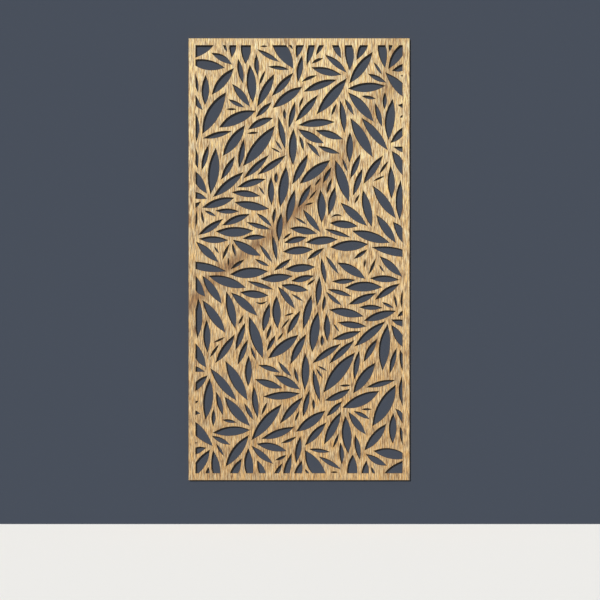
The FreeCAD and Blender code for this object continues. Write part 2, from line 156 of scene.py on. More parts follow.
def distance_from(tree, value, point):
    """How far a value lies from a point, to either side."""
    return work_out(tree, "ABSOLUTE", work_out(tree, "SUBTRACT", value, point))


def blend_colours(tree, share, first, second, how="MIX"):
    """Two colours mixed by a share from 0 to 1. The node's other sockets are for numbers and vectors."""
    step = add(tree, "ShaderNodeMix", data_type="RGBA", blend_type=how)
    feed(tree, step.inputs[MIX_SHARE], share)
    feed(tree, step.inputs[MIX_FIRST_COLOUR], first)
    feed(tree, step.inputs[MIX_SECOND_COLOUR], second)
    return step.outputs[MIX_COLOUR_RESULT]


def tint(tree, colour, by):
    """A colour multiplied by another."""
    return blend_colours(tree, 1.0, colour, by, "MULTIPLY")


def axes_of(tree, place):
    """The X, Y and Z of a place, each a value of its own."""
    split = add(tree, "ShaderNodeSeparateXYZ")
    feed(tree, split.inputs[0], place)
    return split.outputs


def stretch(tree, place, across, deep, high):
    """The place measured in a unit of its own along each axis, so that noise there is as long as the unit."""
    unit = add(tree, "ShaderNodeCombineXYZ")
    for socket, size in zip(unit.inputs, (across, deep, high)):
        feed(tree, socket, size)
    step = add(tree, "ShaderNodeVectorMath", operation="DIVIDE")
    feed(tree, step.inputs[0], place)
    feed(tree, step.inputs[1], unit.outputs[0])
    return step.outputs[0]


def cloud(tree, place, scale=1.0, detail=1.0, rough=0.5, twist=0.0):
    """Soft noise at a place."""
    step = add(tree, "ShaderNodeTexNoise", noise_dimensions="3D")
    values = {"Vector": place, "Scale": scale, "Detail": detail, "Roughness": rough, "Distortion": twist}
    for name, value in values.items():
        feed(tree, step.inputs[name], value)
    return step.outputs["Fac"]


def patches(tree, place, low, high, to_low=0.0, to_high=1.0, **noise):
    """Soft noise whose values from low to high are opened out to another range."""
    return spread(tree, cloud(tree, place, **noise), low, high, to_low, to_high)


def new_group(name, takes, gives):
    """An empty group with its named inputs and outputs, and its two end nodes."""
    tree = bpy.data.node_groups.new(name, "ShaderNodeTree")
    for label, kind in takes:
        tree.interface.new_socket(name=label, in_out="INPUT", socket_type=kind)
    for label, kind in gives:
        tree.interface.new_socket(name=label, in_out="OUTPUT", socket_type=kind)
    start = tree.nodes.new("NodeGroupInput").outputs
    end = tree.nodes.new("NodeGroupOutput").inputs
    return tree, start, end


def new_material(name, **constants):
    """A material whose plain values sit on its own shader."""
    material = bpy.data.materials.new(name)
    material.use_nodes = True
    tree = material.node_tree
    shader = tree.nodes["Principled BSDF"]
    for label, value in constants.items():
        shader.inputs[label.replace("_", " ")].default_value = value
    return material, tree, shader


def place_on_piece(tree):
    """The object's own coordinates, in metres."""
    return add(tree, "ShaderNodeTexCoord").outputs["Object"]


def use_group(tree, group, values):
    """A group placed in a material with its own values."""
    made = add(tree, "ShaderNodeGroup", node_tree=group)
    for label, value in values.items():
        feed(tree, made.inputs[label], value)
    return made.outputs


def bump(tree, shader, height, depth, strength):
    """Fine relief of a real depth, in metres, on the shader's normal."""
    step = add(tree, "ShaderNodeBump")
    step.inputs["Strength"].default_value = strength
    step.inputs["Distance"].default_value = depth
    feed(tree, step.inputs["Height"], height)
    feed(tree, shader.inputs["Normal"], step.outputs[0])


def dress(names, material):
    """Puts a material on solids in place of the plain one they came with."""
    for name in names:
        NODES[name].data.materials.clear()
        NODES[name].data.materials.append(material)
    print(material.name, "on", ", ".join(names))


# %% [markdown]
# New pieces are shaped in edit mode, as by hand. Code has no mouse, so a helper picks edges and faces by
# where they are. Others start a piece from a primitive, extrude what is selected and taper it. The last one
# ends each piece the same way: its faces turn outwards, it gets its name, its finish and soft shading over
# the blunt edges, and it rides on the panel.

# %% Helpers for modelling
NEAR = 0.01 * MM
FACING_BACK = (-math.pi / 2, 0, 0)


def start_from(primitive, **settings):
    """Adds a primitive, fixes its place in its points and opens it for editing."""
    bpy.ops.object.select_all(action="DESELECT")
    primitive(**settings)
    bpy.ops.object.transform_apply(location=True, rotation=True, scale=True)
    bpy.ops.object.mode_set(mode="EDIT")


def choose(kind, wanted):
    """Selects only the edges or faces whose centre the test accepts, in edit mode."""
    bpy.ops.mesh.select_mode(type=kind)
    bpy.ops.mesh.select_all(action="DESELECT")
    mesh = bmesh.from_edit_mesh(bpy.context.edit_object.data)
    parts = mesh.edges if kind == "EDGE" else mesh.faces
    for part in parts:
        centre = sum((corner.co for corner in part.verts), Vector()) / len(part.verts)
        if wanted(centre, part):
            part.select = True
    mesh.select_flush_mode()
    bmesh.update_edit_mesh(bpy.context.edit_object.data)


def extrude(way):
    """Extrudes the selection along a vector."""
    bpy.ops.mesh.extrude_region_move(TRANSFORM_OT_translate={"value": way})


def taper(share, centre):
    """Narrows the selection towards a centre, along X and Z but not in depth."""
    bpy.ops.transform.resize(value=(share, 1, share), center_override=centre)


def settle(name, material, soft_below):
    """Leaves edit mode, names the piece, gives it its finish and lets it ride on the panel."""
    bpy.ops.mesh.select_all(action="SELECT")
    bpy.ops.mesh.normals_make_consistent(inside=False)
    bpy.ops.object.mode_set(mode="OBJECT")
    piece = bpy.context.object
    piece.name = name
    piece.data.name = name
    piece.data.materials.append(material)
    bpy.ops.object.shade_smooth_by_angle(angle=soft_below)
    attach(piece, "root")
    return piece


# %% [markdown]
# Sliced wood shows three things at once: streaks where early and late growth alternate, broad bands where
# the tree grew faster or slower, and short dark pores. Each is the same soft noise, stretched a long way
# along the grain. A fourth noise turns some streaks a little warmer and others paler, as in real wood,
# and a fifth draws the hair-fine fibres that show only close by. One group makes them all, so oak and pine
# differ only in their values.

# %% The grain of wood
GRAIN_TAKES = [
    ("Place", VECTOR),
    ("Pale", COLOUR),
    ("Deep", COLOUR),
    ("Pore", COLOUR),
    ("Streak width", FLOAT),
    ("Streak length", FLOAT),
    ("Band width", FLOAT),
    ("Band length", FLOAT),
    ("Band share", FLOAT),
    ("Pore strength", FLOAT),
    ("Hue strength", FLOAT),
]
GRAIN_GIVES = [("Color", COLOUR), ("Height", FLOAT), ("Pores", FLOAT)]
WARMER = (1.12, 0.96, 0.70, 1.0)
PALER = (0.95, 1.02, 1.18, 1.0)
HUE_SHIFT = (31.7, 0.0, 5.3)
PORE_WIDTH = 0.7 * MM
PORE_LENGTH = 9 * MM
FIBRE_WIDTH = 0.3 * MM
FIBRE_LENGTH = 40 * MM
FIBRE_SHARE = 0.14
STREAK_NOISE = {"detail": 4.0, "rough": 0.65, "low": 0.35, "high": 0.65}
BAND_NOISE = {"detail": 2.0, "twist": 0.4, "low": 0.3, "high": 0.7}
PORE_NOISE = {"low": 0.57, "high": 0.68}
FIBRE_NOISE = {"detail": 2.0, "rough": 0.6, "low": 0.3, "high": 0.7}
HUE_NOISE = {"low": 0.35, "high": 0.65}


def make_grain_group():
    """Streaks, bands, pores and hues, for wood whose grain runs along Z."""
    tree, start, end = new_group("wood grain", GRAIN_TAKES, GRAIN_GIVES)
    fine = stretch(tree, start["Place"], start["Streak width"], start["Streak width"], start["Streak length"])
    streaks = patches(tree, fine, **STREAK_NOISE)
    broad = stretch(tree, start["Place"], start["Band width"], start["Band width"], start["Band length"])
    bands = patches(tree, broad, **BAND_NOISE)
    slits = stretch(tree, start["Place"], PORE_WIDTH, PORE_WIDTH, PORE_LENGTH)
    pores = work_out(tree, "MULTIPLY", patches(tree, slits, **PORE_NOISE), start["Pore strength"])
    hairs = stretch(tree, start["Place"], FIBRE_WIDTH, FIBRE_WIDTH, FIBRE_LENGTH)
    fibres = patches(tree, hairs, to_low=-FIBRE_SHARE, to_high=FIBRE_SHARE, **FIBRE_NOISE)
    tone = mix_values(tree, start["Band share"], streaks, bands)
    tone = work_out(tree, "ADD", tone, fibres, clamp=True)
    wood = blend_colours(tree, tone, start["Deep"], start["Pale"])
    elsewhere = add(tree, "ShaderNodeVectorMath", operation="ADD")
    feed(tree, elsewhere.inputs[0], fine)
    elsewhere.inputs[1].default_value = HUE_SHIFT
    hue = blend_colours(tree, patches(tree, elsewhere.outputs[0], **HUE_NOISE), WARMER, PALER)
    wood = blend_colours(tree, start["Hue strength"], wood, tint(tree, wood, hue))
    feed(tree, end["Color"], blend_colours(tree, pores, wood, start["Pore"]))
    feed(tree, end["Height"], work_out(tree, "SUBTRACT", tone, pores))
    feed(tree, end["Pores"], pores)
    return tree


GRAIN = make_grain_group()
print("grain group with", len(GRAIN.nodes), "nodes")

# %% [markdown]
# The board's face is a veneer of light oak. Its values go into the grain group: how wide and long the streaks
# and bands are, and the pale, the deep and the pore colour. A slow tint multiplies the grain, paler towards
# the top and a little to the right. The change with height is partly the sheet's own tone and partly painted
# light, as from a lamp above.

# %% The oak face
OAK_PALE = paint(255, 229, 178)
OAK_DEEP = paint(116, 81, 45)
OAK_PORE = paint(118, 87, 52)
# Paler at the top and deeper at the foot: partly the oak's own tone, partly painted light from above.
OAK_TOP_TONE_AND_LIGHT = (1.17, 1.18, 1.15, 1.0)
OAK_FOOT_TONE_AND_SHADE = (0.92, 0.84, 0.72, 1.0)
OAK_LEFT_TINT = (0.985, 0.985, 0.985, 1.0)
OAK_RIGHT_TINT = (1.035, 1.035, 1.035, 1.0)
STREAK_WIDTH = 2.5 * MM
STREAK_LENGTH = 30 * MM
BAND_WIDTH = 26 * MM
BAND_LENGTH = 420 * MM
OAK_VALUES = {
    "Pale": OAK_PALE,
    "Deep": OAK_DEEP,
    "Pore": OAK_PORE,
    "Streak width": STREAK_WIDTH,
    "Streak length": STREAK_LENGTH,
    "Band width": BAND_WIDTH,
    "Band length": BAND_LENGTH,
    "Band share": 0.12,
    "Pore strength": 0.5,
    "Hue strength": 1.0,
}


def board_tone_and_light(tree, place):
    """The slow change over the board: paler towards the top, partly tone and partly painted light from above,
    and a little paler to the right.
    """
    axes = axes_of(tree, place)
    up = spread(tree, axes["Z"], BOARD_LOW.z, BOARD_HIGH.z)
    across = spread(tree, axes["X"], BOARD_LOW.x, BOARD_HIGH.x)
    # Painted light from above, mixed with the sheet's own change of tone with height.
    tone_and_light_by_height = blend_colours(tree, up, OAK_FOOT_TONE_AND_SHADE, OAK_TOP_TONE_AND_LIGHT)
    side_tint = blend_colours(tree, across, OAK_LEFT_TINT, OAK_RIGHT_TINT)
    return tint(tree, tone_and_light_by_height, side_tint)


print("oak streaks of", STREAK_WIDTH / MM, "by", STREAK_LENGTH / MM, "mm")

# %% [markdown]
# This sheet has one feature of its own: a thin dark line of figure, where the veneer was cut past a branch.
# It enters at the left edge below the middle, climbs at about 45 degrees and steepens towards the top right.
# A curve widget is the plain way to draw such a line in a material: it takes the height and gives how far
# across the line stands there. A little noise makes it waver, and it fades where the photograph shows less.

# %% The dark figure
LINE_SHARES = (
    (0.36, -0.09),
    (0.41, 0.03),
    (0.485, 0.183),
    (0.564, 0.396),
    (0.643, 0.545),
    (0.724, 0.681),
    (0.783, 0.78),
    (0.851, 0.862),
    (0.908, 0.907),
    (0.976, 0.93),
)
LINE_FROM_SHARE = 0.36
LINE_FADE_SHARE = 0.58
LINE_END_SHARE = 0.86
LINE_TOP_STRENGTH = 0.6
LINE_HALF_WIDTH = 36 * MM
LINE_SLOPE_SHARE = 0.72
LINE_WAVER = 12 * MM
LINE_PATCH = 24 * MM
LINE_TINT = (0.51, 0.40, 0.31, 1.0)
LINE_BREAK = 46 * MM
LINE_LOWEST_SHARE = -1
NOISE_MIDDLE = 0.5
WAVER_NOISE = {"scale": 1 / LINE_PATCH, "detail": 2.0, "rough": 0.55}
BREAK_NOISE = {"scale": 1 / LINE_BREAK, "low": 0.4, "high": 0.6, "to_low": 0.9}


def figure_mask(tree, place):
    """How strongly the dark line of figure shows at a place on the front."""
    axes = axes_of(tree, place)
    extent = BOARD_HIGH - BOARD_LOW
    up = work_out(tree, "DIVIDE", work_out(tree, "SUBTRACT", axes["Z"], BOARD_LOW.z), extent.z)
    drawn = add(tree, "ShaderNodeFloatCurve")
    drawn.mapping.clip_min_x = 0
    drawn.mapping.clip_min_y = LINE_LOWEST_SHARE
    line = drawn.mapping.curves[0]
    line.points[0].location = LINE_SHARES[0]
    line.points[-1].location = LINE_SHARES[-1]
    for height, across in LINE_SHARES[1:-1]:
        line.points.new(height, across)
    drawn.mapping.update()
    feed(tree, drawn.inputs["Value"], up)
    stands = work_out(tree, "MULTIPLY_ADD", drawn.outputs[0], extent.x)
    stands.node.inputs[2].default_value = BOARD_LOW.x
    noise = cloud(tree, place, **WAVER_NOISE)
    waver = work_out(tree, "MULTIPLY", work_out(tree, "SUBTRACT", noise, NOISE_MIDDLE), LINE_WAVER)
    gap = distance_from(tree, work_out(tree, "ADD", axes["X"], waver), stands)
    dark = spread(tree, work_out(tree, "MULTIPLY", gap, LINE_SLOPE_SHARE), LINE_HALF_WIDTH, 0.0)
    fade = spread(tree, up, LINE_FADE_SHARE, LINE_END_SHARE, 1.0, LINE_TOP_STRENGTH)
    breaks = patches(tree, place, **BREAK_NOISE)
    begins = work_out(tree, "GREATER_THAN", up, LINE_FROM_SHARE)
    in_front = work_out(tree, "LESS_THAN", axes["Y"], MIDDLE.y)
    for share in (fade, breaks, begins, in_front):
        dark = work_out(tree, "MULTIPLY", dark, share)
    return dark


print("dark figure drawn through", len(LINE_SHARES), "points")

# %% [markdown]
# The laser scorches the cuts brown. Whether a point shows the face or a cut depends only on how deep it lies
# in the board, so one material does for both: the depth is measured from the board's middle, the two faces
# are the outermost few hundredths of a millimetre, and all between them is cut wall. A wall shows the sheet's
# make-up too, a thin veneer on each side of the core, and the fine stripes that a laser leaves through the
# thickness. The back is a plainer, cheaper veneer.

# %% The whole board
FACE_SKIN = 0.03 * MM
VENEER = 0.6 * MM
VENEER_SHOWS = 0.6
CHAR = paint(58, 37, 22)
SCORCH = paint(118, 80, 46)
SCORCHED_VENEER = paint(92, 60, 34)
OAK_BACK = paint(198, 167, 122)
BACK_PLAINNESS = 0.55
STRIPE_WIDTH = 0.9 * MM
STRIPE_LENGTH = 9 * MM
STRIPE_NOISE = {"detail": 2.0, "rough": 0.6, "low": 0.3, "high": 0.7}
WALL_ROUGHNESS = 0.88
FACE_ROUGHNESS = 0.5
PORE_ROUGHNESS = 0.7
OAK_RELIEF = 0.12 * MM
OAK_RELIEF_STRENGTH = 0.6


def cut_wall_colour(tree, place, depth):
    """Scorched wood, striped through the board's thickness, with a thin veneer at each face."""
    through = stretch(tree, place, STRIPE_WIDTH, STRIPE_LENGTH, STRIPE_WIDTH)
    wall = blend_colours(tree, patches(tree, through, **STRIPE_NOISE), CHAR, SCORCH)
    in_veneer = work_out(tree, "GREATER_THAN", depth, HALF_THICKNESS - VENEER)
    return blend_colours(tree, work_out(tree, "MULTIPLY", in_veneer, VENEER_SHOWS), wall, SCORCHED_VENEER)


def make_oak():
    """The board's material: oak on both faces and scorched wood in every cut."""
    material, tree, shader = new_material("oak_faced_board", Specular_IOR_Level=0.3)
    place = place_on_piece(tree)
    grain = use_group(tree, GRAIN, {"Place": place, **OAK_VALUES})
    # The tint paints part of the light from above into the face's colour.
    face = tint(tree, grain["Color"], board_tone_and_light(tree, place))
    face.node.clamp_result = True
    face = blend_colours(tree, figure_mask(tree, place), face, tint(tree, face, LINE_TINT))
    into_board = axes_of(tree, place)["Y"]
    behind = work_out(tree, "GREATER_THAN", into_board, MIDDLE.y)
    face = blend_colours(tree, work_out(tree, "MULTIPLY", behind, BACK_PLAINNESS), face, OAK_BACK)
    depth = distance_from(tree, into_board, MIDDLE.y)
    on_face = work_out(tree, "GREATER_THAN", depth, HALF_THICKNESS - FACE_SKIN)
    colour = blend_colours(tree, on_face, cut_wall_colour(tree, place, depth), face)
    feed(tree, shader.inputs["Base Color"], colour)
    rough = spread(tree, grain["Pores"], 0.0, 1.0, FACE_ROUGHNESS, PORE_ROUGHNESS)
    feed(tree, shader.inputs["Roughness"], spread(tree, on_face, 0.0, 1.0, WALL_ROUGHNESS, rough))
    relief = work_out(tree, "MULTIPLY", grain["Height"], on_face)
    bump(tree, shader, relief, OAK_RELIEF, OAK_RELIEF_STRENGTH)
    return material


OAK = make_oak()
print("oak material with", len(OAK.node_tree.nodes), "nodes")

# %% [markdown]
# In the solid, each curved side of a leaf is a few straight runs, which is enough to test and to cut from
# afar but shows as corners close by. A laser follows a true curve. So the front's outline is lifted off the
# solid as a wire and turned into Bezier splines through the same points: smooth along a leaf's side, and
# sharp at its tips and wherever it meets the straight border. A flat Bezier curve fills itself and leaves
# the inner loops open, and its extrusion gives the board its thickness back. A mesh of it then stands for
# the solid. Cutting each leaf with a boolean would do too, but over 300 cuts are slow and leave slivers.
#
# The beam also burns the sharp edge of the wood away and leaves it sloped and dark, and this fine dark line
# round every cut is what makes the leaves stand out from afar. The curve's own bevel makes that slope. A
# bevel fattens a flat curve by its width, so an offset of the same width takes that back: the walls stay on
# the solid's outline, and only the two faces draw back from it.

# %% The board with smooth cuts
TIP_TURN = math.radians(42)
STEPS_PER_RUN = 3
BURNT_EDGE = 0.5 * MM
FINE_WELD = 0.001 * MM
BOARD_SOFT_BELOW = math.radians(30)
LAY_DOWN = Matrix.Rotation(-math.pi / 2, 4, "X")
STAND_UP = Matrix.Rotation(math.pi / 2, 4, "X")


def front_outline(name):
    """The outline of the board's front and of all its cuts, as a wire laid down in X and Y."""
    wire = bpy.data.objects.new(name, NODES["fretwork_board"].data.copy())
    wire.data.materials.clear()
    bpy.context.scene.collection.objects.link(wire)
    bpy.ops.object.select_all(action="DESELECT")
    wire.select_set(True)
    bpy.context.view_layer.objects.active = wire
    bpy.ops.object.mode_set(mode="EDIT")
    bpy.ops.mesh.select_all(action="SELECT")
    bpy.ops.mesh.remove_doubles(threshold=NEAR)
    choose("FACE", lambda middle, face: abs(middle.y - BOARD_LOW.y) > NEAR)
    bpy.ops.mesh.delete(type="FACE")
    choose("EDGE", lambda middle, edge: not edge.is_boundary)
    bpy.ops.mesh.delete(type="EDGE")
    bpy.ops.object.mode_set(mode="OBJECT")
    wire.data.transform(LAY_DOWN)
    return wire


def is_corner(before, here, after):
    """A leaf's tip, or a point on an edge that runs exactly upright or level, as only the border does."""
    runs = (here - before, after - here)
    if any(min(abs(run.x), abs(run.y)) < NEAR for run in runs):
        return True
    return runs[0].angle(runs[1]) > TIP_TURN


def smooth_splines(curve):
    """Bends each spline through its points, apart from its corners."""
    corners = 0
    for spline in curve.splines:
        points = spline.bezier_points
        places = [point.co.copy() for point in points]
        for number, point in enumerate(points):
            after = places[(number + 1) % len(places)]
            sharp = is_corner(places[number - 1], places[number], after)
            point.handle_left_type = "VECTOR" if sharp else "AUTO"
            point.handle_right_type = point.handle_left_type
            corners += sharp
    return corners


def model_board(name, material):
    """The fretwork board with smooth cuts, which stands for the plain solid."""
    wire = front_outline(name)
    bpy.ops.object.convert(target="CURVE")
    curve = wire.data
    bpy.ops.object.mode_set(mode="EDIT")
    bpy.ops.curve.select_all(action="SELECT")
    bpy.ops.curve.spline_type_set(type="BEZIER")
    bpy.ops.object.mode_set(mode="OBJECT")
    corners = smooth_splines(curve)
    print(len(curve.splines), "outlines with", corners, "corners")
    curve.dimensions = "2D"
    curve.fill_mode = "BOTH"
    curve.resolution_u = STEPS_PER_RUN
    curve.bevel_depth = BURNT_EDGE
    curve.bevel_resolution = 0
    curve.offset = -BURNT_EDGE
    curve.extrude = HALF_THICKNESS - BURNT_EDGE
    bpy.ops.object.convert(target="MESH")
    wire.data.transform(Matrix.Translation((0, MIDDLE.y, 0)) @ STAND_UP)
    bpy.ops.object.mode_set(mode="EDIT")
    bpy.ops.mesh.select_all(action="SELECT")
    bpy.ops.mesh.remove_doubles(threshold=FINE_WELD)
    board = settle(name, material, BOARD_SOFT_BELOW)
    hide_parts("fretwork_board")
    return board


board = model_board("leaf_board", OAK)
print("leaf board has", len(board.data.polygons), "faces")

# %% [markdown]
# The battens are planed pine, paler and plainer than the oak. Their grain runs along each batten, so the
# two rails use the same material with its pattern turned a quarter round. The stiles' sawn ends show end
# grain, which is darker because it drinks the light.

# %% Pine battens
STILES = ["left_back_stile", "right_back_stile"]
RAILS = ["top_back_rail", "bottom_back_rail"]
PINE_VALUES = {
    "Pale": paint(232, 206, 158),
    "Deep": paint(205, 168, 112),
    "Pore": paint(178, 134, 82),
    "Streak width": 2.6 * MM,
    "Streak length": 120 * MM,
    "Band width": 7 * MM,
    "Band length": 600 * MM,
    "Band share": 0.55,
    "Pore strength": 0.25,
    "Hue strength": 0.3,
}
END_GRAIN = paint(176, 138, 88)
END_SKIN = 0.05 * MM
PINE_RELIEF = 0.1 * MM
PINE_RELIEF_STRENGTH = 0.5


def make_pine(name, turn, end_low, end_high):
    """Pine whose grain is turned to run along the batten, with end grain beyond its two ends."""
    material, tree, shader = new_material(name, Roughness=0.62)
    turned = add(tree, "ShaderNodeMapping", vector_type="TEXTURE")
    feed(tree, turned.inputs["Vector"], place_on_piece(tree))
    turned.inputs["Rotation"].default_value = (0, turn, 0)
    grain = use_group(tree, GRAIN, {"Place": turned.outputs[0], **PINE_VALUES})
    reach = distance_from(tree, axes_of(tree, turned.outputs[0])["Z"], (end_low + end_high) / 2)
    on_end = work_out(tree, "GREATER_THAN", reach, (end_high - end_low) / 2 - END_SKIN)
    feed(tree, shader.inputs["Base Color"], blend_colours(tree, on_end, grain["Color"], END_GRAIN))
    bump(tree, shader, grain["Height"], PINE_RELIEF, PINE_RELIEF_STRENGTH)
    return material


stile_low, stile_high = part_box(STILES[0])
rail_low, rail_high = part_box(RAILS[0])
dress(STILES, make_pine("pine_stile", 0, stile_low.z, stile_high.z))
dress(RAILS, make_pine("pine_rail", math.pi / 2, rail_low.x, rail_high.x))

# %% [markdown]
# The keyhole plates are stamped sheet steel with a thin zinc plating, and so are the screws. New plating
# is never one even grey: it has a faint cloudy bloom and fine scratches from handling. One group gives
# both, and plates and screws use it with their own greys.

# %% Zinc plating
ZINC_TAKES = [("Place", VECTOR), ("Bright", COLOUR), ("Dull", COLOUR), ("Bloom size", FLOAT)]
ZINC_GIVES = [("Color", COLOUR), ("Roughness", FLOAT), ("Height", FLOAT)]
PLATES = ["left_keyhole_hanger", "right_keyhole_hanger"]
SCRATCH_WIDTH = 0.18 * MM
SCRATCH_LENGTH = 5 * MM
SCRATCH_RELIEF = 0.01 * MM
SCRATCH_RELIEF_STRENGTH = 0.4
SCRATCH_LOW = 0.3
SCRATCH_HIGH = 0.7
SCRATCH_ROUGHNESS = 0.12
DULL_ROUGHNESS = 0.42
BRIGHT_ROUGHNESS = 0.3
BLOOM_NOISE = {"detail": 4.0, "rough": 0.6, "low": 0.35, "high": 0.65}


def make_zinc_group():
    """Cloudy bloom and fine scratches along Z."""
    tree, start, end = new_group("zinc plating", ZINC_TAKES, ZINC_GIVES)
    size = start["Bloom size"]
    bloom = patches(tree, stretch(tree, start["Place"], size, size, size), **BLOOM_NOISE)
    scratches = cloud(tree, stretch(tree, start["Place"], SCRATCH_WIDTH, SCRATCH_WIDTH, SCRATCH_LENGTH))
    feed(tree, end["Color"], blend_colours(tree, bloom, start["Dull"], start["Bright"]))
    plain = spread(tree, bloom, 0.0, 1.0, DULL_ROUGHNESS, BRIGHT_ROUGHNESS)
    worn = spread(tree, scratches, SCRATCH_LOW, SCRATCH_HIGH, 0.0, SCRATCH_ROUGHNESS)
    feed(tree, end["Roughness"], work_out(tree, "ADD", plain, worn))
    feed(tree, end["Height"], scratches)
    return tree


def make_plated(name, bright, dull, bloom_size):
    """Zinc-plated steel in its own greys."""
    material, tree, shader = new_material(name, Metallic=1.0)
    values = {"Place": place_on_piece(tree), "Bright": bright, "Dull": dull, "Bloom size": bloom_size}
    zinc = use_group(tree, ZINC, values)
    feed(tree, shader.inputs["Base Color"], zinc["Color"])
    feed(tree, shader.inputs["Roughness"], zinc["Roughness"])
    bump(tree, shader, zinc["Height"], SCRATCH_RELIEF, SCRATCH_RELIEF_STRENGTH)
    return material


ZINC = make_zinc_group()
dress(PLATES, make_plated("plated_hanger", paint(214, 216, 218), paint(176, 178, 180), 4 * MM))
SCREW_STEEL = make_plated("plated_screw", paint(206, 205, 199), paint(184, 182, 175), 2.4 * MM)

# %% [markdown]
# Each plate is held by two small countersunk screws, whose heads fill the plates' tapered holes. The head
# starts as the cross recess, because everything else is fitted round it: a small square whose four sides
# are pulled out into a cross and pushed down with a taper. A circle round it makes the rim, the ring
# between the two is filled, and the rim is pulled down to the shank and its point.

# %% One screw, by hand
HEAD_RADIUS = 2.9 * MM
HEAD_DEPTH = 1.35 * MM
HEAD_SINK = 0.06 * MM
SHANK_RADIUS = 1.35 * MM
SHANK_LENGTH = 3.6 * MM
POINT_LENGTH = 1.6 * MM
CROSS_WIDTH = 0.8 * MM
CROSS_SPAN = 3.1 * MM
CROSS_DEPTH = 0.95 * MM
CROSS_TAPER = 0.45
CROSS_ARMS = (Vector((1, 0, 0)), Vector((-1, 0, 0)), Vector((0, 0, 1)), Vector((0, 0, -1)))
RIM_SIDES = 32
SCREW_SOFT_BELOW = math.radians(35)


def model_screw(name, place):
    """A countersunk screw with a cross recess, whose head faces +Y."""
    top = place.y - HEAD_SINK
    centre = Vector((place.x, top, place.z))
    start_from(bpy.ops.mesh.primitive_plane_add, size=CROSS_WIDTH, location=centre, rotation=FACING_BACK)
    arm = (CROSS_SPAN - CROSS_WIDTH) / 2
    for way in CROSS_ARMS:
        start = centre + way * CROSS_WIDTH / 2
        choose("EDGE", lambda middle, edge: (middle - start).length < NEAR)
        extrude(way * arm)
    bpy.ops.mesh.select_mode(type="FACE")
    bpy.ops.mesh.select_all(action="SELECT")
    extrude((0, -CROSS_DEPTH, 0))
    taper(CROSS_TAPER, centre - Vector((0, CROSS_DEPTH, 0)))
    choose("FACE", lambda middle, face: abs(middle.y - top) < NEAR)
    bpy.ops.mesh.delete(type="FACE")
    bpy.ops.mesh.select_all(action="DESELECT")
    bpy.ops.mesh.primitive_circle_add(
        vertices=RIM_SIDES, radius=HEAD_RADIUS, location=centre, rotation=FACING_BACK
    )
    choose("EDGE", lambda middle, edge: edge.is_boundary or edge.is_wire)
    bpy.ops.mesh.fill(use_beauty=True)
    rim = HEAD_RADIUS * math.cos(math.pi / RIM_SIDES)
    choose("EDGE", lambda middle, edge: abs((middle - centre).length - rim) < NEAR)
    depth = 0
    radius = HEAD_RADIUS
    for step, new_radius in ((HEAD_DEPTH, SHANK_RADIUS), (SHANK_LENGTH, SHANK_RADIUS), (POINT_LENGTH, NEAR)):
        depth += step
        extrude((0, -step, 0))
        taper(new_radius / radius, centre - Vector((0, depth, 0)))
        radius = new_radius
    bpy.ops.mesh.edge_face_add()
    return settle(name, SCREW_STEEL, SCREW_SOFT_BELOW)


# %% [markdown]
# A fitter never leaves all the crosses lined up. The one screw is therefore copied to the other holes with
# a turn of its own about its axis, and each copy gets its own mesh, so that every piece sits at the origin
# with its place in its points.

# %% The screws in their holes
HOLE_ABOVE_PLATE_CENTRE = 13 * MM
SCREW_TURNS = {"upper_left": 31, "lower_right": 64, "upper_right": 12}


def hole_place(plate, above):
    """The centre of a plate's screw hole, in the plane of its back."""
    low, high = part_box(plate)
    centre = (low + high) / 2
    return Vector((centre.x, high.y, centre.z + above * HOLE_ABOVE_PLATE_CENTRE))


def copy_mesh_piece(piece, name, shift):
    """A copy with its own mesh, moved in its points."""
    twin = piece.copy()
    twin.data = piece.data.copy()
    twin.name = name
    twin.data.name = name
    twin.data.transform(shift)
    bpy.context.scene.collection.objects.link(twin)
    return twin


HOLES = {
    "lower_left": hole_place(PLATES[0], -1),
    "upper_left": hole_place(PLATES[0], 1),
    "lower_right": hole_place(PLATES[1], -1),
    "upper_right": hole_place(PLATES[1], 1),
}
first_hole = HOLES["lower_left"]
first_screw = model_screw("lower_left_screw", first_hole)
for where, turn in SCREW_TURNS.items():
    turned = Matrix.Rotation(math.radians(turn), 4, "Y")
    shift = Matrix.Translation(HOLES[where]) @ turned @ Matrix.Translation(-first_hole)
    copy_mesh_piece(first_screw, where + "_screw", shift)
print("one screw has", len(first_screw.data.polygons), "faces")

# %% [markdown]
# The pads are pressed felt, punched from sheet and stuck on the battens. A punched disc is not a sharp
# cylinder: its rim is dragged round and its outer face is slightly domed. The solid is a plain disc, so a
# softer one is modelled in its place, a little lower at the rim, with its highest point where the disc
# touched the wall. The material adds the fibres.

# %% Felt pads
PADS = ["upper_left_bumper", "upper_right_bumper", "lower_left_bumper", "lower_right_bumper"]
PAD_SIDES = 48
RIM_ROUND = 0.35 * MM
RIM_STEPS = 4
DOME_STEPS = ((1.2 * MM, 0.1 * MM), (1.3 * MM, 0.05 * MM))
FACES_THE_WALL = 0.99
PAD_SOFT_BELOW = math.radians(50)
FELT_DEEP = paint(104, 86, 70)
FELT_PALE = paint(158, 138, 118)
FELT_FIBRE = 0.35 * MM
FELT_CLUMP = 2.2 * MM
FELT_FIBRE_NOISE = {"scale": 1 / FELT_FIBRE, "detail": 4.0, "rough": 0.75, "twist": 1.2}
FELT_CLUMP_NOISE = {"scale": 1 / FELT_CLUMP, "detail": 2.0}
FELT_CLUMP_SHARE = 0.3
FELT_TONE_LOW = 0.35
FELT_TONE_HIGH = 0.65
FELT_RELIEF = 0.25 * MM
FELT_RELIEF_STRENGTH = 0.8


